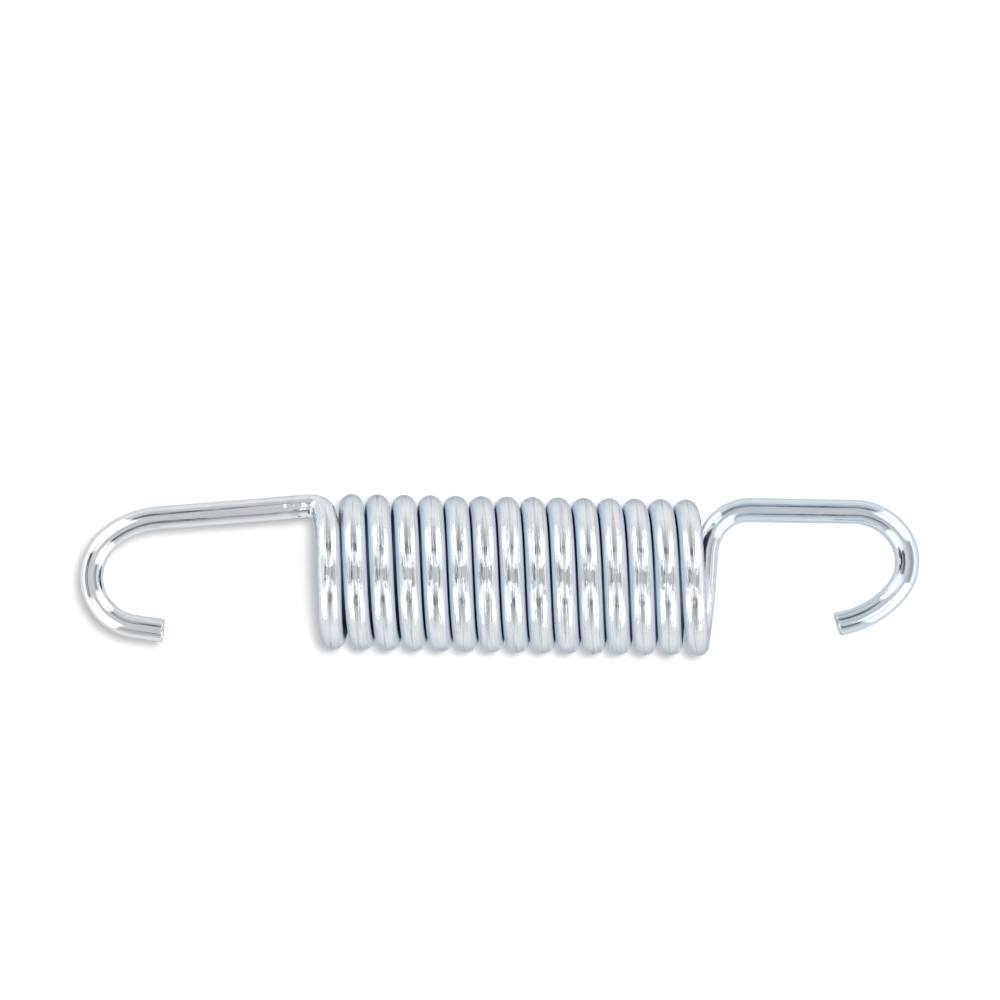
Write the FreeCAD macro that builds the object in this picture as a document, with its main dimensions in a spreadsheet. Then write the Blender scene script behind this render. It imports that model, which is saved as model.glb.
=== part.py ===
import FreeCAD, Part
import math
import os

import Sketcher

# Kickstand spring: one length of round steel wire, wound into a close coil along X and bent out
# into an open hook at each end. It lies on the floor on its coil and its right hook.
# Lengths are in millimetres, angles in degrees. A bend radius is measured to the wire's centre
# line unless it is called an inside radius.

doc = FreeCAD.newDocument("kickstand_spring")
sheet = doc.addObject("Spreadsheet::Sheet", "sizes")

SIZES = {
    # Wire and coil
    "wire_diameter": 3.5,
    "coil_outer_diameter": 23.3,
    "coil_gap": 0.31,
    "coil_turns": 14.675,
    # Left end, in order from the coil out to the tip
    "left_corner_inside_radius": 0.35,
    "left_hook_twist": -27,
    "left_set_radius": 6,
    "left_set_turn": 5.5,
    "left_leg_length": 22.6,
    "left_shoulder_radius": 12.7,
    "left_shoulder_turn": 35.5,
    "left_seat_radius": 7.5,
    "left_seat_turn": 132,
    "left_tip_length": 4.3,
    # Right end, in order from the coil out to the tip
    "right_lead_length": 3.4,
    "right_corner_radius": 7.3,
    "right_leg_length": 15.7,
    "right_shoulder_radius": 8.5,
    "right_shoulder_turn": 51.5,
    "right_seat_radius": 6.9,
    "right_seat_turn": 78,
    "right_tip_radius": 14.6,
    "right_tip_turn": 41,
}
for row, (alias, value) in enumerate(SIZES.items(), start=1):
    sheet.set(f"A{row}", alias)
    sheet.set(f"B{row}", str(value))
    sheet.setAlias(f"B{row}", alias)
doc.recompute()

# What follows from the sizes, written once for the expressions below
MEAN_RADIUS = "((sizes.coil_outer_diameter - sizes.wire_diameter) / 2)"
PITCH = "(sizes.wire_diameter + sizes.coil_gap)"
LEAN = f"atan({PITCH} / (2 * pi * {MEAN_RADIUS}))"
COIL_SWEEP = "(360 * sizes.coil_turns)"
LEFT_CORNER = "(sizes.left_corner_inside_radius + sizes.wire_diameter / 2)"

X_AXIS = FreeCAD.Vector(1, 0, 0)
LEFT = 1
RIGHT = -1


def number(expression):
    """Value of an expression on the sheet, in millimetres or degrees."""
    value = sheet.evalExpression(expression)
    return float(getattr(value, "Value", value))


def bind(feature, **expressions):
    """Tie properties to expressions; a double underscore in a name stands for a dot."""
    for name, expression in expressions.items():
        feature.setExpression(name.replace("__", "."), expression)


def hold(sketch, kind, geometry, name, expression):
    """Give one line or arc of a sketch a named dimension tied to an expression."""
    value = number(expression)
    if kind == "Angle":
        value = math.radians(value)
    index = sketch.addConstraint(Sketcher.Constraint(kind, geometry, value))
    sketch.renameConstraint(index, name)
    sketch.setExpression(f"Constraints.{name}", expression)


def bent_path(label, heading, steps):
    """Sketch the wire's centre line out from the sketch's origin.

    heading is the direction the wire sets off in. Each step is a straight run (name, length) or a
    bend (name, radius, turn, side), and every step carries on smoothly from the one before.
    """
    sketch = doc.addObject("Sketcher::SketchObject", label)
    angle = math.radians(number(heading))
    point = FreeCAD.Vector(0, 0, 0)
    forward = FreeCAD.Vector(math.cos(angle), math.sin(angle), 0)

    # A construction line into the origin carries the heading
    sketch.addGeometry(Part.LineSegment(point - forward, point), True)
    sketch.addConstraint(Sketcher.Constraint("Coincident", 0, 2, -1, 1))
    sketch.addConstraint(Sketcher.Constraint("Distance", 0, 1.0))
    hold(sketch, "Angle", 0, "heading", heading)
    last, last_end = 0, 2

    for name, *step in steps:
        forward = FreeCAD.Vector(math.cos(angle), math.sin(angle), 0)
        if len(step) == 1:
            end = point + forward * number(step[0])
            this = sketch.addGeometry(Part.LineSegment(point, end), False)
            first_end, far_end = 1, 2
            sketch.addConstraint(Sketcher.Constraint("Tangent", last, last_end, this, first_end))
            hold(sketch, "Distance", this, f"{name}_length", step[0])
        else:
            radius, turn, side = step
            centre = point + FreeCAD.Vector(-forward.y, forward.x, 0) * side * number(radius)
            start_at = angle - side * math.pi / 2
            end_at = start_at + side * math.radians(number(turn))
            circle = Part.Circle(centre, FreeCAD.Vector(0, 0, 1), number(radius))
            arc = Part.ArcOfCircle(circle, min(start_at, end_at), max(start_at, end_at))
            this = sketch.addGeometry(arc, False)
            first_end, far_end = (1, 2) if side == LEFT else (2, 1)
            sketch.addConstraint(Sketcher.Constraint("Tangent", last, last_end, this, first_end))
            hold(sketch, "Radius", this, f"{name}_radius", radius)
            hold(sketch, "Angle", this, f"{name}_turn", turn)
            angle += side * math.radians(number(turn))
            end = arc.EndPoint if side == LEFT else arc.StartPoint
        point = end
        last, last_end = this, far_end
    return sketch


# Coil: a right-handed helix about X that starts at the top of the +Y side
coil_path = doc.addObject("Part::Helix", "coil_path")
coil_path.SegmentLength = 1
bind(
    coil_path,
    Radius=MEAN_RADIUS,
    Pitch=PITCH,
    Height=f"{PITCH} * sizes.coil_turns",
)
coil_path.Placement.Rotation = FreeCAD.Rotation(FreeCAD.Vector(1, 1, 1), 120)

# Left corner: a tight bend that turns the first turn of the coil out along -X
left_corner_path = bent_path(
    "left_corner_path",
    f"270 deg - {LEAN}",
    [("corner", LEFT_CORNER, f"90 deg - {LEAN}", RIGHT)],
)
left_corner_path.Placement.Rotation = FreeCAD.Rotation(X_AXIS, 90)
bind(left_corner_path, Placement__Base__y=MEAN_RADIUS)

# Left hook: a long leg set a little towards the coil's axis, then a deep open hook
left_hook_path = bent_path(
    "left_hook_path",
    "180 deg",
    [
        ("set", "sizes.left_set_radius", "sizes.left_set_turn", LEFT),
        ("leg", "sizes.left_leg_length"),
        ("shoulder", "sizes.left_shoulder_radius", "sizes.left_shoulder_turn", LEFT),
        ("seat", "sizes.left_seat_radius", "sizes.left_seat_turn", LEFT),
        ("tip", "sizes.left_tip_length"),
    ],
)
left_hook_path.Placement.Rotation = FreeCAD.Rotation(X_AXIS, 1)
bind(
    left_hook_path,
    Placement__Rotation__Angle="sizes.left_hook_twist",
    Placement__Base__x=f"-{LEFT_CORNER} * cos({LEAN})",
    Placement__Base__y=MEAN_RADIUS,
    Placement__Base__z=f"-{LEFT_CORNER} * (1 - sin({LEAN}))",
)

# Right hook: the last turn runs straight off the coil, swings out along +X and ends in a hook
right_hook_path = bent_path(
    "right_hook_path",
    f"90 deg - {LEAN}",
    [
        ("lead", "sizes.right_lead_length"),
        ("corner", "sizes.right_corner_radius", f"90 deg - {LEAN}", RIGHT),
        ("leg", "sizes.right_leg_length"),
        ("shoulder", "sizes.right_shoulder_radius", "sizes.right_shoulder_turn", RIGHT),
        ("seat", "sizes.right_seat_radius", "sizes.right_seat_turn", RIGHT),
        ("tip", "sizes.right_tip_radius", "sizes.right_tip_turn", RIGHT),
    ],
)
right_hook_path.Placement.Rotation = FreeCAD.Rotation(X_AXIS, 1)
bind(
    right_hook_path,
    Placement__Rotation__Angle=f"{COIL_SWEEP} + 90",
    Placement__Base__x=f"{PITCH} * sizes.coil_turns",
    Placement__Base__y=f"{MEAN_RADIUS} * cos({COIL_SWEEP})",
    Placement__Base__z=f"{MEAN_RADIUS} * sin({COIL_SWEEP})",
)

# Centre line of the whole wire, and the round section square to its left tip
wire_path = doc.addObject("Part::Compound", "wire_path")
wire_path.Links = [left_hook_path, left_corner_path, coil_path, right_hook_path]
wire_section = doc.addObject("Part::Circle", "wire_section")
bind(wire_section, Radius="sizes.wire_diameter / 2")
doc.recompute()
left_tip = f"Edge{len(left_hook_path.Shape.Edges)}"
wire_section.AttachmentSupport = [(left_hook_path, left_tip)]
wire_section.MapMode = "NormalToEdge"
wire_section.MapPathParameter = 1
doc.recompute()

# Spring: the wire itself, laid with its right hook flat on the floor
spring = doc.addObject("Part::Sweep", "kickstand_spring")
spring.Label = "kickstand_spring"
spring.Sections = [wire_section]
spring.Spine = (wire_path, [f"Edge{i}" for i in range(1, len(wire_path.Shape.Edges) + 1)])
spring.Solid = True
spring.Frenet = False
spring.Placement.Rotation = FreeCAD.Rotation(X_AXIS, 1)
bind(spring, Placement__Rotation__Angle=f"270 - {COIL_SWEEP}")
doc.recompute()

# Centred over the origin with its underside on the floor
box = spring.Shape.optimalBoundingBox(False)
spring.Placement.Base = FreeCAD.Vector(-box.Center.x, -box.Center.y, -box.ZMin)
doc.recompute()

for feature in doc.Objects:
    if "Invalid" in feature.State or "Error" in feature.State:
        raise RuntimeError(f"{feature.Label} did not recompute")
if spring.Shape.isNull() or not spring.Shape.isValid():
    raise RuntimeError(f"{spring.Label} is not a valid solid")

os.makedirs("parts", exist_ok=True)
spring.Shape.exportStep(f"parts/{spring.Label}.step")
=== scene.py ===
import math

import bmesh
import bpy
from mathutils import Matrix, Vector


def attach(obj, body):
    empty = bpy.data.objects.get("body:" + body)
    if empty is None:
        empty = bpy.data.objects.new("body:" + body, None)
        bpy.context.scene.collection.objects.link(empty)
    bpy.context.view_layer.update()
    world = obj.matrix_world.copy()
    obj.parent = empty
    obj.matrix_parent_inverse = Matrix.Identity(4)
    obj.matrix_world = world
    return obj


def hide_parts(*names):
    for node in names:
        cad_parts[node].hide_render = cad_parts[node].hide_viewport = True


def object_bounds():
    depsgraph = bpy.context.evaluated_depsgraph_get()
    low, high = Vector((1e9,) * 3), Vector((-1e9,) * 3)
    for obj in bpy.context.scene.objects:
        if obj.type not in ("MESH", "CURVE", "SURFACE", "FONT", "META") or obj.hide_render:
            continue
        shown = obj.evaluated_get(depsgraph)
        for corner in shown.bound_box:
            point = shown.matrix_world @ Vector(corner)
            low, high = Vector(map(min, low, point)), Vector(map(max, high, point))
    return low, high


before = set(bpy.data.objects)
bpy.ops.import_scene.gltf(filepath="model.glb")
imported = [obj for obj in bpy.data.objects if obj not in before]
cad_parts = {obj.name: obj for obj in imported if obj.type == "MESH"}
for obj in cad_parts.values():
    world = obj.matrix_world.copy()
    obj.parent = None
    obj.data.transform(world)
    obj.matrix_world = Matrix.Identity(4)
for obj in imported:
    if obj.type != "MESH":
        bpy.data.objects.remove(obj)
cad_low, cad_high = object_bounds()

# Spring wire: one length of round spring steel, wound cold into a close coil and bent out at each end,
# so the whole spring is a single wire that is drawn on from ring to ring. The coil's axis is X, and
# both hooks lie flat, parallel to the floor.
MM = 0.001
WIRE_DIAMETER = 3.5 * MM
WIRE_RADIUS = WIRE_DIAMETER / 2
WIRE_SIDES = 40
RING_SPACING = 0.6 * MM
FEWEST_BEND_RINGS = 6
X_AXIS = Vector((1, 0, 0))
UP = Vector((0, 0, 1))

# Every vertex keeps its place on the wire: out from the coil's axis, across to the left, and along.
wire = bmesh.new()
drawn = wire.verts.layers.float_vector.new("drawn")


def draw_on(end, length, steps, **motion):
    """Spin the wire on from its open end, and mark each new ring with its place along the wire."""
    first_new = len(wire.verts)
    grown = bmesh.ops.spin(wire, geom=end["rim"], steps=steps, **motion)
    wire.verts.ensure_lookup_table()
    for count, vert in enumerate(wire.verts[first_new:]):
        share = (count // WIRE_SIDES + 1) / steps
        vert[drawn] = (*vert[drawn].xy, end["along"] + share * length)
    end["along"] += length
    end["rim"] = [part for part in grown["geom_last"] if isinstance(part, bmesh.types.BMEdge)]


def run(end, length):
    """Draw the wire straight on."""
    steps = max(1, round(length / RING_SPACING))
    step = end["heading"] * length / steps
    draw_on(end, end["way"] * length, steps, cent=end["at"], axis=UP, angle=0, dvec=step)
    end["at"] = end["at"] + end["heading"] * length


def bend(end, radius, turn, about):
    """Bend the wire round an axis; the radius is to the wire's centre line."""
    centre = end["at"] + about.cross(end["heading"]) * radius
    length = radius * turn
    steps = max(FEWEST_BEND_RINGS, round(length / RING_SPACING))
    draw_on(end, end["way"] * length, steps, cent=centre, axis=about, angle=turn)
    turned = Matrix.Rotation(turn, 3, about)
    end["at"] = centre + turned @ (end["at"] - centre)
    end["heading"] = turned @ end["heading"]


# Coil: the wire is pushed round against a coiling tool, right-handed, with a hair of light between its
# turns. The first turn starts high on the far side and the last one ends at the very bottom.
COIL_DIAMETER = 23.3 * MM
COIL_RADIUS = COIL_DIAMETER / 2 - WIRE_RADIUS
COIL_GAP = 0.31 * MM
COIL_TURNS = 14.675
COIL_START = math.radians(27)
STEPS_PER_TURN = 80
PITCH = WIRE_DIAMETER + COIL_GAP
LEAN = math.atan(PITCH / (2 * math.pi * COIL_RADIUS))
TURN_LENGTH = 2 * math.pi * COIL_RADIUS / math.cos(LEAN)
WHOLE_TURNS = math.floor(COIL_TURNS)

# At the start of the coil: the way out from its axis, the way the wire heads, and how its section faces.
outward = Matrix.Rotation(COIL_START, 3, X_AXIS) @ Vector((0, 1, 0))
heading = X_AXIS * math.sin(LEAN) + X_AXIS.cross(outward) * math.cos(LEAN)
facing = Matrix((outward, heading.cross(outward), heading)).transposed().to_4x4()


def coil_end(turns, way):
    """An open ring of wire after a whole number of turns, which faces on along the wire or back."""
    at = outward * COIL_RADIUS + X_AXIS * turns * PITCH
    ring = bmesh.ops.create_circle(
        wire, segments=WIRE_SIDES, radius=WIRE_RADIUS, matrix=Matrix.Translation(at) @ facing
    )
    for vert in ring["verts"]:
        offset = facing.inverted() @ (vert.co - at)
        vert[drawn] = (offset.x, offset.y, turns * TURN_LENGTH)
    rim = list(dict.fromkeys(edge for vert in ring["verts"] for edge in vert.link_edges))
    return {"rim": rim, "at": at, "heading": heading * way, "way": way, "along": turns * TURN_LENGTH}


def wind(end, share):
    """Wind a whole turn, or part of one, on from an open ring of the coil."""
    steps = round(share * STEPS_PER_TURN)
    turn = share * 2 * math.pi
    advance = X_AXIS * share * PITCH
    draw_on(
        end, share * TURN_LENGTH, steps, cent=(0, 0, 0), axis=X_AXIS, angle=turn, dvec=advance / steps
    )
    turned = Matrix.Rotation(turn, 3, X_AXIS)
    end["at"] = turned @ end["at"] + advance
    end["heading"] = turned @ end["heading"]


wind(coil_end(0, 1), 1)
first_turn = wire.verts[:] + wire.edges[:] + wire.faces[:]

# Left end: a tight corner turns the start of the coil out along the axis into a long leg, which is set
# a little towards the axis and ends in a deep open hook.
AXIS_TURN = math.pi / 2 - LEAN
LEFT_CORNER_INSIDE_RADIUS = 0.35 * MM
LEFT_SET_RADIUS = 6 * MM
LEFT_SET_TURN = math.radians(5.5)
LEFT_LEG_LENGTH = 22.6 * MM
LEFT_SHOULDER_RADIUS = 12.7 * MM
LEFT_SHOULDER_TURN = math.radians(35.5)
LEFT_SEAT_RADIUS = 7.5 * MM
LEFT_SEAT_TURN = math.radians(132)
LEFT_TIP_LENGTH = 4.3 * MM
left_end = coil_end(0, -1)
bend(left_end, LEFT_CORNER_INSIDE_RADIUS + WIRE_RADIUS, AXIS_TURN, outward)
bend(left_end, LEFT_SET_RADIUS, LEFT_SET_TURN, UP)
run(left_end, LEFT_LEG_LENGTH)
bend(left_end, LEFT_SHOULDER_RADIUS, LEFT_SHOULDER_TURN, UP)
bend(left_end, LEFT_SEAT_RADIUS, LEFT_SEAT_TURN, UP)
run(left_end, LEFT_TIP_LENGTH)

# Right end: after its last part of a turn the wire runs straight off the coil along the floor, swings
# out along the axis and ends in an open hook whose tip curves on.
RIGHT_LEAD_LENGTH = 3.4 * MM
RIGHT_CORNER_RADIUS = 7.3 * MM
RIGHT_LEG_LENGTH = 15.7 * MM
RIGHT_SHOULDER_RADIUS = 8.5 * MM
RIGHT_SHOULDER_TURN = math.radians(51.5)
RIGHT_SEAT_RADIUS = 6.9 * MM
RIGHT_SEAT_TURN = math.radians(78)
RIGHT_TIP_RADIUS = 14.6 * MM
RIGHT_TIP_TURN = math.radians(41)
right_end = coil_end(WHOLE_TURNS, 1)
wind(right_end, COIL_TURNS - WHOLE_TURNS)
run(right_end, RIGHT_LEAD_LENGTH)
bend(right_end, RIGHT_CORNER_RADIUS, AXIS_TURN, -UP)
run(right_end, RIGHT_LEG_LENGTH)
bend(right_end, RIGHT_SHOULDER_RADIUS, RIGHT_SHOULDER_TURN, -UP)
bend(right_end, RIGHT_SEAT_RADIUS, RIGHT_SEAT_TURN, -UP)
bend(right_end, RIGHT_TIP_RADIUS, RIGHT_TIP_TURN, -UP)

# Cut tips: the wire is sheared off at each end, a little out of square, and the shear rolls its edge
# over all round.
TIP_EDGE = 0.3 * MM
LEFT_CUT_LEAN = math.radians(3)
RIGHT_CUT_LEAN = math.radians(9)
for end, cut_lean in ((left_end, LEFT_CUT_LEAN), (right_end, RIGHT_CUT_LEAN)):
    rim_verts = list(dict.fromkeys(vert for edge in end["rim"] for vert in edge.verts))
    leaning = Matrix.Rotation(cut_lean, 3, "Z")
    bmesh.ops.rotate(wire, verts=rim_verts, cent=end["at"], matrix=leaning)
    cap = bmesh.ops.contextual_create(wire, geom=end["rim"])["faces"][0]
    bmesh.ops.bevel(
        wire, geom=cap.edges[:], offset=TIP_EDGE, affect="EDGES", segments=3, profile=0.5, material=-1
    )

# The other whole turns are copies of the first, and everything is welded where its rings meet.
WELD_DISTANCE = 0.001 * MM
for turn in range(1, WHOLE_TURNS):
    copied = bmesh.ops.duplicate(wire, geom=first_turn)["geom"]
    copied_verts = [part for part in copied if isinstance(part, bmesh.types.BMVert)]
    bmesh.ops.translate(wire, vec=X_AXIS * turn * PITCH, verts=copied_verts)
    for vert in copied_verts:
        vert[drawn] = vert[drawn] + UP * turn * TURN_LENGTH
bmesh.ops.remove_doubles(wire, verts=wire.verts, dist=WELD_DISTANCE)

# Uneven winding: the left corner and the first turn have sprung to the left, the turns after them settle
# a little to the right, and the last one stands off before the wire leaves for the hook. Each stretch is
# in turns from the start of the coil: where a shift begins, is whole, begins to fade and is over.
SHIFTS = {
    "left corner": (-0.45 * MM, (-0.2, -0.05, -0.02, 0.07)),
    "first turn": (-0.45 * MM, (0.13, 0.43, 0.43, 0.73)),
    "body of the coil": (0.31 * MM, (1, 4, COIL_TURNS, COIL_TURNS + 0.25)),
    "last turn": (
        0.25 * MM,
        (COIL_TURNS - 0.545, COIL_TURNS - 0.245, COIL_TURNS - 0.245, COIL_TURNS + 0.055),
    ),
    "right lead": (0.5 * MM, (COIL_TURNS - 0.2, COIL_TURNS, COIL_TURNS + 0.05, COIL_TURNS + 0.24)),
}


def ease(start, stop, place):
    """Rise smoothly from 0 at the start to 1 at the stop."""
    share = max(0, min(1, (place - start) / (stop - start)))
    return share * share * (3 - 2 * share)


def swell(place, start, whole, fading, stop):
    """Rise smoothly from 0 at the start to 1 where it is whole, and fall again to 0 at the stop."""
    return ease(start, whole, place) * ease(stop, fading, place)


for vert in wire.verts:
    turns = vert[drawn].z / TURN_LENGTH
    vert.co.x += sum(distance * swell(turns, *stretch) for distance, stretch in SHIFTS.values())

# Places in the plating: every vertex also keeps how far it is on the coil, how far another turn or the
# bore shuts it in, which sets where shade is painted, and how blue it shows. The plate has its own blue,
# the right end is bluer, and the left side of each turn is bluer than the right as a painted reflection.
ON_COIL = (0, 0.06, COIL_TURNS - 0.06, COIL_TURNS)
TURN_AT_LEFT = (1, 1.1, COIL_TURNS - 0.05, COIL_TURNS + 0.05)
TURN_AT_RIGHT = (0, 0.1, COIL_TURNS - 1, COIL_TURNS - 0.9)
# The right side of each turn counts as more shut in, so that its gap gets more painted shade.
RIGHT_SIDE_SHUT = 1.15
BORE_STRETCH = (0, 0.1, COIL_TURNS - 0.5, COIL_TURNS - 0.25)
BORE_EDGE = 0.3 * WIRE_RADIUS
PLATE_BLUENESS = 0.8
PAINTED_REFLECTION_BLUENESS = 0.8
RIGHT_END_BLUENESS = 1
RIGHT_END_REACH = 0.2
wound = wire.verts.layers.float.new("wound")
shut_in = wire.verts.layers.float.new("shut_in")
blueness = wire.verts.layers.float.new("blueness")
for vert in wire.verts:
    turns = vert[drawn].z / TURN_LENGTH
    to_left = ease(-WIRE_RADIUS, WIRE_RADIUS, vert[drawn].y)
    vert[wound] = swell(turns, *ON_COIL)
    left_shut = to_left * swell(turns, *TURN_AT_LEFT)
    right_shut = RIGHT_SIDE_SHUT * (1 - to_left) * swell(turns, *TURN_AT_RIGHT)
    in_bore = ease(BORE_EDGE, -BORE_EDGE, vert[drawn].x) * swell(turns, *BORE_STRETCH)
    vert[shut_in] = max(in_bore, left_shut + right_shut)
    # Painted reflection: the left side of each turn is bluer, the right side less blue.
    painted_blue_reflection = PAINTED_REFLECTION_BLUENESS * vert[wound] * (to_left - 0.5)
    bluer_end = RIGHT_END_BLUENESS * ease(COIL_TURNS, COIL_TURNS + RIGHT_END_REACH, turns)
    vert[blueness] = PLATE_BLUENESS + painted_blue_reflection + bluer_end

# The wire is smooth all round and flat only on its two cut ends, and it lies where the solid does.
bmesh.ops.recalc_face_normals(wire, faces=wire.faces)
for face in wire.faces:
    face.smooth = len(face.verts) == 4
wire_low = Vector([min(vert.co[axis] for vert in wire.verts) for axis in range(3)])
wire_high = Vector([max(vert.co[axis] for vert in wire.verts) for axis in range(3)])
bmesh.ops.translate(wire, vec=(cad_low + cad_high) / 2 - (wire_low + wire_high) / 2, verts=wire.verts)

spring_mesh = bpy.data.meshes.new("kickstand_spring_wire")
wire.to_mesh(spring_mesh)
wire.free()
spring = bpy.data.objects.new("kickstand_spring_wire", spring_mesh)
bpy.context.collection.objects.link(spring)
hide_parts("kickstand_spring")
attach(spring, "root")


def linear(hex_colour):
    """Linear colour, with an alpha of 1, from an sRGB hex value."""
    channels = [int(hex_colour[place:place + 2], 16) / 255 for place in (1, 3, 5)]
    return [c / 12.92 if c <= 0.04045 else ((c + 0.055) / 1.055) ** 2.4 for c in channels] + [1]


def add(tree, kind, inputs=None, stops=(), **settings):
    """Add a node with its settings and colour stops, and fill its inputs with values or outputs."""
    node = tree.nodes.new(kind)
    for name, value in settings.items():
        setattr(node, name, value)
    if stops:
        node.color_ramp.elements.remove(node.color_ramp.elements[1])
    for number, (place, colour) in enumerate(stops):
        stop = node.color_ramp.elements.new(place) if number else node.color_ramp.elements[0]
        stop.position = place
        stop.color = colour
    for name, value in (inputs or {}).items():
        if isinstance(value, bpy.types.NodeSocket):
            tree.links.new(value, node.inputs[name])
        else:
            node.inputs[name].default_value = value
    return node


# Bright zinc plate, blue passivated, over drawn wire: a slightly blue mirror, in which the marks of
# drawing and coiling break up every reflection. Between the turns it was never rubbed bright and stays
# matt and bluer, and its pale colour there is partly painted light for what the turns reflect onto each
# other. Deep between the turns and inside the coil it is dull, and its dark colour is painted shade.
zinc = bpy.data.materials.new("bright zinc plate")
zinc.use_nodes = True
zinc_tree = zinc.node_tree
shader = zinc_tree.nodes["Principled BSDF"]
wire_place = add(zinc_tree, "ShaderNodeAttribute", attribute_name="drawn")
on_coil = add(zinc_tree, "ShaderNodeAttribute", attribute_name="wound")
between_turns = add(zinc_tree, "ShaderNodeAttribute", attribute_name="shut_in")
tint = add(zinc_tree, "ShaderNodeAttribute", attribute_name="blueness")

# Marks along the wire: long lines and shorter streaks from drawing it, and small flats where the coiling
# tool has pressed it. Lines and streaks are drawn coarser than real, because the real ones are too fine
# to show. The hooks were never coiled, so they have no flats and only faint streaks.
LINE_WIDTH = 0.38 * MM
LINE_LENGTH = 40 * MM
LINE_HEIGHT = 0.05 * MM
FLAT_WIDTH = 1 * MM
FLAT_LENGTH = 1.3 * MM
FLAT_HEIGHT = 0.08 * MM
STREAK_WIDTH = 0.25 * MM
STREAK_LENGTH = 5 * MM
STREAK_HEIGHT = 0.08 * MM
HOOK_STREAKS = 0.2
line_place = add(
    zinc_tree,
    "ShaderNodeMapping",
    {
        "Vector": wire_place.outputs["Vector"],
        "Scale": (1 / LINE_WIDTH, 1 / LINE_WIDTH, 1 / LINE_LENGTH),
    },
)
lines = add(
    zinc_tree, "ShaderNodeTexNoise", {"Vector": line_place.outputs["Vector"], "Scale": 1, "Detail": 1}
)
lined = add(
    zinc_tree,
    "ShaderNodeBump",
    {"Height": lines.outputs["Fac"], "Distance": LINE_HEIGHT, "Strength": 1},
)
flat_place = add(
    zinc_tree,
    "ShaderNodeMapping",
    {
        "Vector": wire_place.outputs["Vector"],
        "Scale": (1 / FLAT_WIDTH, 1 / FLAT_WIDTH, 1 / FLAT_LENGTH),
    },
)
flats = add(
    zinc_tree, "ShaderNodeTexNoise", {"Vector": flat_place.outputs["Vector"], "Scale": 1, "Detail": 1}
)
flattened = add(
    zinc_tree,
    "ShaderNodeBump",
    {
        "Height": flats.outputs["Fac"],
        "Distance": FLAT_HEIGHT,
        "Strength": on_coil.outputs["Fac"],
        "Normal": lined.outputs["Normal"],
    },
)
streak_place = add(
    zinc_tree,
    "ShaderNodeMapping",
    {
        "Vector": wire_place.outputs["Vector"],
        "Scale": (1 / STREAK_WIDTH, 1 / STREAK_WIDTH, 1 / STREAK_LENGTH),
    },
)
streaks = add(
    zinc_tree, "ShaderNodeTexNoise", {"Vector": streak_place.outputs["Vector"], "Scale": 1, "Detail": 2}
)
streak_strength = add(
    zinc_tree,
    "ShaderNodeMapRange",
    {"Value": on_coil.outputs["Fac"], "To Min": HOOK_STREAKS, "To Max": 1},
)
streaked = add(
    zinc_tree,
    "ShaderNodeBump",
    {
        "Height": streaks.outputs["Fac"],
        "Distance": STREAK_HEIGHT,
        "Strength": streak_strength.outputs["Result"],
        "Normal": flattened.outputs["Normal"],
    },
)

# Press marks: the pin that bent the left corner has dented the leg beside it.
PRESSED_PLACE = -5.4 * MM
PRESSED_REACH = 3.4 * MM
DENT_WIDTH = 1.4 * MM
DENT_DEPTH = 0.24 * MM
across = add(zinc_tree, "ShaderNodeSeparateXYZ", {"Vector": wire_place.outputs["Vector"]})
from_pin = add(
    zinc_tree, "ShaderNodeMath", {0: across.outputs["Z"], 1: -PRESSED_PLACE}, operation="ADD"
)
pin_distance = add(zinc_tree, "ShaderNodeMath", {0: from_pin.outputs["Value"]}, operation="ABSOLUTE")
pressed = add(
    zinc_tree,
    "ShaderNodeMapRange",
    {
        "Value": pin_distance.outputs["Value"],
        "From Min": PRESSED_REACH,
        "From Max": PRESSED_REACH / 2,
    },
)
dents = add(
    zinc_tree,
    "ShaderNodeTexNoise",
    {"Vector": wire_place.outputs["Vector"], "Scale": 1 / DENT_WIDTH, "Detail": 0},
)
dented = add(
    zinc_tree,
    "ShaderNodeBump",
    {
        "Height": dents.outputs["Fac"],
        "Distance": DENT_DEPTH,
        "Strength": pressed.outputs["Result"],
        "Normal": streaked.outputs["Normal"],
    },
)

# Depth between the turns: from 0 on the open outside of the wire to 1 in the bore. Each stop is a depth
# and the colour there: the plate's own on the outside, a pale blue on the sides of the turns that is
# partly painted light, and painted shade, navy then dark grey-blue, deep between the turns and in the
# bore. The matt plate on the sides of the turns hides the metal, and the bore shows it again.
PLATE_AND_PAINTED_SHADE_STOPS = (
    (0.16, "#E6ECF1"), (0.26, "#DEEBFA"), (0.5, "#DEEBFA"), (0.7, "#243552"), (0.95, "#4E5C76"),
)
PLATE_SHEEN = "#BEC4CA"
BRIGHT_ROUGHNESS = 0.08
MATT_ROUGHNESS = 0.55
MATT_FROM = 0.08
MATT_BY = 0.2
HIDDEN_METAL = 0.1
HIDDEN_FROM = 0.17
HIDDEN_BY = 0.27
BORE_METAL = 0.9
BORE_FROM = 0.7
BORE_BY = 0.95
inner_side = add(
    zinc_tree,
    "ShaderNodeMath",
    {0: across.outputs["X"], 1: -0.5 / WIRE_RADIUS, 2: 0.5},
    operation="MULTIPLY_ADD",
)
depth = add(
    zinc_tree,
    "ShaderNodeMath",
    {0: inner_side.outputs["Value"], 1: between_turns.outputs["Fac"]},
    operation="MULTIPLY",
)
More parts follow.
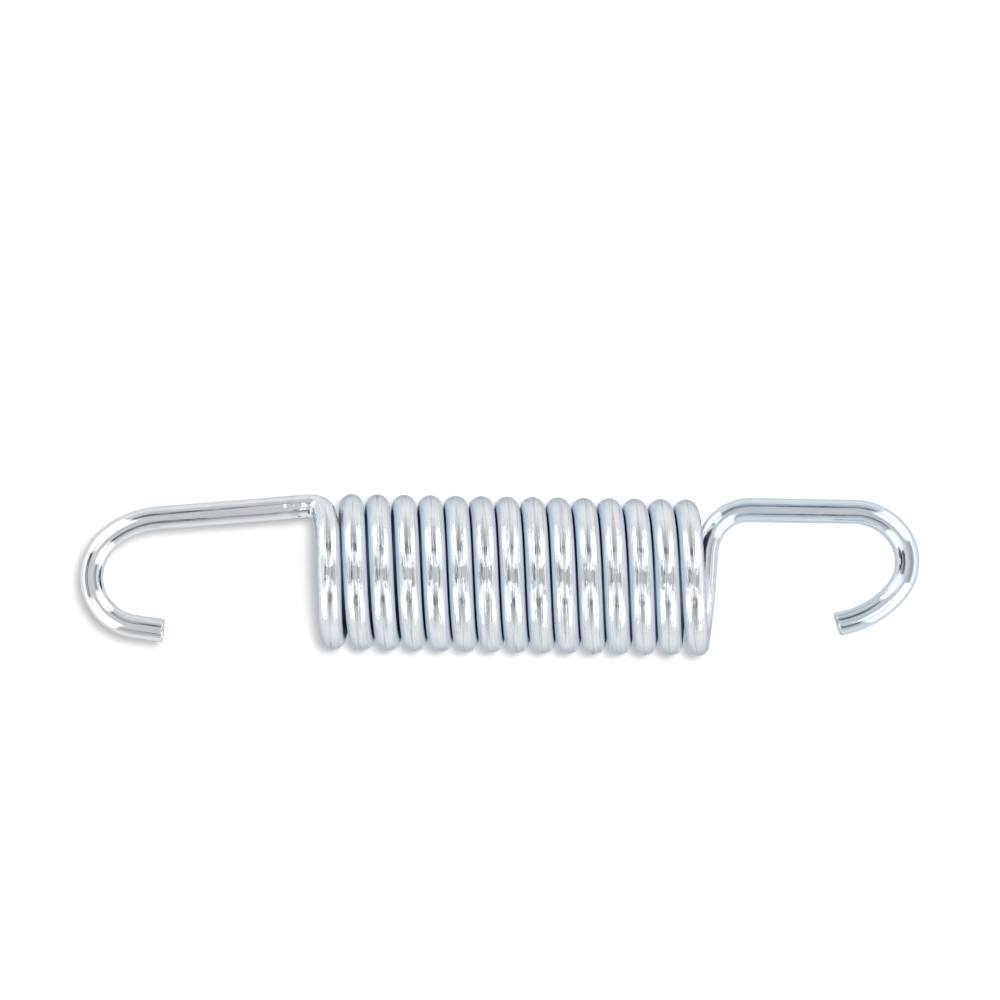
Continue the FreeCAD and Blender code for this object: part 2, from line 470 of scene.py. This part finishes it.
# The plate's colour by depth, with painted shade deep between the turns and in the bore.
plate = add(
    zinc_tree,
    "ShaderNodeValToRGB",
    {"Fac": depth.outputs["Value"]},
    stops=[(place, linear(shade)) for place, shade in PLATE_AND_PAINTED_SHADE_STOPS],
)
matt_plate = add(
    zinc_tree,
    "ShaderNodeMapRange",
    {
        "Value": depth.outputs["Value"],
        "From Min": MATT_FROM,
        "From Max": MATT_BY,
        "To Min": BRIGHT_ROUGHNESS,
        "To Max": MATT_ROUGHNESS,
    },
)
outer_metal = add(
    zinc_tree,
    "ShaderNodeMapRange",
    {
        "Value": depth.outputs["Value"],
        "From Min": HIDDEN_FROM,
        "From Max": HIDDEN_BY,
        "To Min": 1,
        "To Max": HIDDEN_METAL,
    },
)
bore_metal = add(
    zinc_tree,
    "ShaderNodeMapRange",
    {
        "Value": depth.outputs["Value"],
        "From Min": BORE_FROM,
        "From Max": BORE_BY,
        "To Max": BORE_METAL,
    },
)
metal = add(
    zinc_tree,
    "ShaderNodeMath",
    {0: outer_metal.outputs["Result"], 1: bore_metal.outputs["Result"]},
    operation="MAXIMUM",
)

# Track: the coiling point rubs a ragged dull line along the outside of every turn, broken by the streaks.
TRACK_PLACE = 0.075 * MM
TRACK_INNER = -0.15 * MM
TRACK_OUTER = 0.25 * MM
TRACK_RAG = 1.6 * MM
TRACK_ROUGHNESS = 0.2
TRACK_LOSS = 0.22
beside_track = add(
    zinc_tree, "ShaderNodeMath", {0: across.outputs["Y"], 1: TRACK_PLACE}, operation="SUBTRACT"
)
off_track = add(zinc_tree, "ShaderNodeMath", {0: beside_track.outputs["Value"]}, operation="ABSOLUTE")
ragged = add(
    zinc_tree,
    "ShaderNodeMath",
    {0: streaks.outputs["Fac"], 1: TRACK_RAG, 2: off_track.outputs["Value"]},
    operation="MULTIPLY_ADD",
)
track = add(
    zinc_tree,
    "ShaderNodeMapRange",
    {
        "Value": ragged.outputs["Value"],
        "From Min": TRACK_OUTER + TRACK_RAG / 2,
        "From Max": TRACK_INNER + TRACK_RAG / 2,
        "To Max": on_coil.outputs["Fac"],
    },
)
rubbed = add(
    zinc_tree,
    "ShaderNodeMath",
    {0: track.outputs["Result"], 1: TRACK_ROUGHNESS, 2: matt_plate.outputs["Result"]},
    operation="MULTIPLY_ADD",
)

# Shade: painted shade darkens the plate a little in the hollows of the streaks; the rubbed track is
# darker again.
STREAK_SHADE = 0.9
SHADED_UNDER = 0.35
BRIGHT_OVER = 0.6
streak_shade = add(
    zinc_tree,
    "ShaderNodeMapRange",
    {
        "Value": streaks.outputs["Fac"],
        "From Min": SHADED_UNDER,
        "From Max": BRIGHT_OVER,
        "To Min": STREAK_SHADE,
        "To Max": 1,
    },
)
# The rubbed track's wear and the streaks' painted shade, together.
worn_and_shaded = add(
    zinc_tree,
    "ShaderNodeMath",
    {0: track.outputs["Result"], 1: -TRACK_LOSS, 2: streak_shade.outputs["Result"]},
    operation="MULTIPLY_ADD",
)
marked_plate = add(
    zinc_tree,
    "ShaderNodeHueSaturation",
    {
        "Color": plate.outputs["Color"],
        "Saturation": tint.outputs["Fac"],
        "Value": worn_and_shaded.outputs["Value"],
    },
)
shader.inputs["Specular Tint"].default_value = linear(PLATE_SHEEN)
zinc_tree.links.new(marked_plate.outputs["Color"], shader.inputs["Base Color"])
zinc_tree.links.new(metal.outputs["Value"], shader.inputs["Metallic"])
zinc_tree.links.new(rubbed.outputs["Value"], shader.inputs["Roughness"])
zinc_tree.links.new(dented.outputs["Normal"], shader.inputs["Normal"])
spring_mesh.materials.append(zinc)

# Floor: a plain sheet of white paper that the spring lies on. It glows a little to the camera and in the
# metal, so that it shows white and still takes a shadow.
FLOOR_REACH = 0.6
PAPER_COLOUR = "#EDEDED"
FLOOR_GLOW = 0.2
MIRRORED_SHARE = 0.6
paper = bpy.data.materials.new("white paper")
paper.use_nodes = True
paper_tree = paper.node_tree
paper_tree.nodes.clear()
floor_ray = add(paper_tree, "ShaderNodeLightPath")
floor_mirrored = add(
    paper_tree,
    "ShaderNodeMath",
    {0: floor_ray.outputs["Is Glossy Ray"], 1: floor_ray.outputs["Is Transmission Ray"]},
    operation="MAXIMUM",
)
floor_seen = add(
    paper_tree,
    "ShaderNodeMath",
    {0: floor_mirrored.outputs["Value"], 1: MIRRORED_SHARE, 2: floor_ray.outputs["Is Camera Ray"]},
    operation="MULTIPLY_ADD",
)
glow_strength = add(
    paper_tree, "ShaderNodeMath", {0: floor_seen.outputs["Value"], 1: FLOOR_GLOW}, operation="MULTIPLY"
)
glow = add(paper_tree, "ShaderNodeEmission", {"Strength": glow_strength.outputs["Value"]})
matt_paper = add(paper_tree, "ShaderNodeBsdfDiffuse", {"Color": linear(PAPER_COLOUR)})
glowing_paper = add(
    paper_tree, "ShaderNodeAddShader", {0: matt_paper.outputs["BSDF"], 1: glow.outputs["Emission"]}
)
add(paper_tree, "ShaderNodeOutputMaterial", {"Surface": glowing_paper.outputs["Shader"]})

floor_sheet = bmesh.new()
bmesh.ops.create_grid(floor_sheet, x_segments=1, y_segments=1, size=FLOOR_REACH)
floor_mesh = bpy.data.meshes.new("floor")
floor_sheet.to_mesh(floor_mesh)
floor_sheet.free()
floor_mesh.materials.append(paper)
floor = bpy.data.objects.new("floor", floor_mesh)
bpy.context.collection.objects.link(floor)

# Light tent: white cloth all round, brightest near the floor, with a dark rim where its sides meet the
# roof. Midway from front to back the roof is panels of unequal brightness, with a dark seam towards the
# left. The camera sees plain white instead.
# Each stop of the cloth is an angle from straight up and a brightness.
TENT = (
    (90, 0.92), (80, 0.84), (72, 0.74), (61, 0.63), (50, 0.55), (46, 0.5), (44, 0.18), (37.5, 0.14),
    (35, 0.5), (31, 0.66), (20, 0.68), (5, 0.7),
)
# Each stop of the panels is a place from -1 at the far left to 1 at the far right, and a brightness.
PANELS = (
    (-0.77, 0.5), (-0.72, 0.35), (-0.68, 0.04), (-0.6, 0.04), (-0.54, 0.42), (-0.42, 0.66),
    (-0.33, 0.88), (-0.2, 0.8), (-0.1, 0.68), (0.06, 0.7), (0.2, 0.76), (0.33, 0.7), (0.5, 0.5),
    (0.64, 0.4), (0.77, 0.55),
)
PANELS_END = 0.48
PANELS_WHOLE = 0.34
ROOF_FROM = 0.6
ROOF_WHOLE = 0.66
UNMIRRORED_STRENGTH = 0.65
tent = bpy.data.worlds.new("light tent")
bpy.context.scene.world = tent
tent.use_nodes = True
tent_tree = tent.node_tree
tent_tree.nodes.clear()
direction = add(tent_tree, "ShaderNodeTexCoord")
tent_place = add(tent_tree, "ShaderNodeSeparateXYZ", {"Vector": direction.outputs["Generated"]})
cloth = add(
    tent_tree,
    "ShaderNodeValToRGB",
    {"Fac": tent_place.outputs["Z"]},
    stops=[(math.cos(math.radians(angle)), (tone, tone, tone, 1)) for angle, tone in TENT],
)
left_to_right = add(
    tent_tree, "ShaderNodeMapRange", {"Value": tent_place.outputs["X"], "From Min": -1, "From Max": 1}
)
panels = add(
    tent_tree,
    "ShaderNodeValToRGB",
    {"Fac": left_to_right.outputs["Result"]},
    stops=[(place / 2 + 0.5, (tone, tone, tone, 1)) for place, tone in PANELS],
)
fore_and_aft = add(tent_tree, "ShaderNodeMath", {0: tent_place.outputs["Y"]}, operation="ABSOLUTE")
midway = add(
    tent_tree,
    "ShaderNodeMapRange",
    {"Value": fore_and_aft.outputs["Value"], "From Min": PANELS_END, "From Max": PANELS_WHOLE},
)
high_up = add(
    tent_tree,
    "ShaderNodeMapRange",
    {"Value": tent_place.outputs["Z"], "From Min": ROOF_FROM, "From Max": ROOF_WHOLE},
)
overhead = add(
    tent_tree,
    "ShaderNodeMath",
    {0: midway.outputs["Result"], 1: high_up.outputs["Result"]},
    operation="MULTIPLY",
)
tent_cloth = add(
    tent_tree,
    "ShaderNodeMixRGB",
    {
        "Fac": overhead.outputs["Value"],
        "Color1": cloth.outputs["Color"],
        "Color2": panels.outputs["Color"],
    },
)
tent_ray = add(tent_tree, "ShaderNodeLightPath")
tent_mirrored = add(
    tent_tree,
    "ShaderNodeMath",
    {0: tent_ray.outputs["Is Glossy Ray"], 1: tent_ray.outputs["Is Transmission Ray"]},
    operation="MAXIMUM",
)
tent_strength = add(
    tent_tree,
    "ShaderNodeMapRange",
    {"Value": tent_mirrored.outputs["Value"], "To Min": UNMIRRORED_STRENGTH, "To Max": 1},
)
tent_light = add(
    tent_tree,
    "ShaderNodeBackground",
    {"Color": tent_cloth.outputs["Color"], "Strength": tent_strength.outputs["Result"]},
)
plain_white = add(tent_tree, "ShaderNodeBackground", {"Color": (1, 1, 1, 1), "Strength": 1})
tent_shown = add(
    tent_tree,
    "ShaderNodeMixShader",
    {
        0: tent_ray.outputs["Is Camera Ray"],
        1: tent_light.outputs["Background"],
        2: plain_white.outputs["Background"],
    },
)
add(tent_tree, "ShaderNodeOutputWorld", {"Surface": tent_shown.outputs["Shader"]})

# Softboxes: four tall ones, one towards each corner of the floor, and a strip light off each end of the
# spring. They give the metal its white bands, and leave the floor's light to the tent and the lamp.
SIDE_LIGHT_DISTANCE = 0.6
SOFTBOX_WIDTH = 0.36
SOFTBOX_HEIGHT = 2.1
SOFTBOX_RADIANCE = 0.85
SOFTBOX_DOWN = 76
SOFTBOXES_AROUND = (39, 141, 219, 321)
STRIP_WIDTH = 1.3
STRIP_HEIGHT = 0.36
STRIP_RADIANCE = 0.4
STRIP_DOWN = 78
STRIPS_AROUND = (0, 180)


def hang_lamp(name, shape, width, height, radiance, distance, around, down):
    """A soft lamp that looks at the spring, so many degrees round it and down from straight up."""
    lamp = bpy.data.lights.new(name, "AREA")
    lamp.shape = shape
    lamp.size = width
    lamp.size_y = height
    lamp.energy = radiance * math.pi * width * height * (math.pi / 4 if shape == "ELLIPSE" else 1)
    lamp_object = bpy.data.objects.new(name, lamp)
    turned = Matrix.Rotation(math.radians(around), 3, "Z") @ Matrix.Rotation(math.radians(down), 3, "Y")
    lamp_object.location = turned @ UP * distance
    lamp_object.rotation_euler = (-lamp_object.location).to_track_quat("-Z", "Y").to_euler()
    bpy.context.collection.objects.link(lamp_object)
    return lamp_object


for around in SOFTBOXES_AROUND:
    softbox = hang_lamp(
        "softbox",
        "ELLIPSE",
        SOFTBOX_WIDTH,
        SOFTBOX_HEIGHT,
        radiance=SOFTBOX_RADIANCE,
        distance=SIDE_LIGHT_DISTANCE,
        around=around,
        down=SOFTBOX_DOWN,
    )
    softbox.visible_diffuse = False
for around in STRIPS_AROUND:
    strip = hang_lamp(
        "strip light",
        "RECTANGLE",
        STRIP_WIDTH,
        STRIP_HEIGHT,
        radiance=STRIP_RADIANCE,
        distance=SIDE_LIGHT_DISTANCE,
        around=around,
        down=STRIP_DOWN,
    )
    strip.visible_diffuse = False

# Lamp: a small one close beside the camera's line of sight, for the short shadow to the lower left. The
# metal doesn't mirror it.
KEY_SIDE = 0.12
KEY_RADIANCE = 200
KEY_DISTANCE = 1.2
KEY_AROUND = 45
KEY_DOWN = 5
key = hang_lamp(
    "key lamp",
    "RECTANGLE",
    KEY_SIDE,
    KEY_SIDE,
    radiance=KEY_RADIANCE,
    distance=KEY_DISTANCE,
    around=KEY_AROUND,
    down=KEY_DOWN,
)
key.visible_glossy = False
key.visible_camera = False

# Camera: straight above, far enough away that the coil's turns show almost no perspective. Its height is
# taken from the coil's axis, and the width of its view is the width at that axis.
SENSOR = 36
VIEW_X = -0.55 * MM
VIEW_Y = 10.92 * MM
VIEW_HEIGHT = 870 * MM
VIEW_WIDTH = 149.03 * MM
VIEW_ROLL = math.radians(0.94)
camera = bpy.data.cameras.new("camera")
camera.sensor_width = SENSOR
camera.lens = SENSOR * VIEW_HEIGHT / VIEW_WIDTH
camera_object = bpy.data.objects.new("camera", camera)
camera_object.location = (VIEW_X, VIEW_Y, COIL_DIAMETER / 2 + VIEW_HEIGHT)
camera_object.rotation_euler = (0, 0, VIEW_ROLL)
bpy.context.collection.objects.link(camera_object)
bpy.context.scene.camera = camera_object
bpy.context.scene.view_settings.view_transform = "Standard"
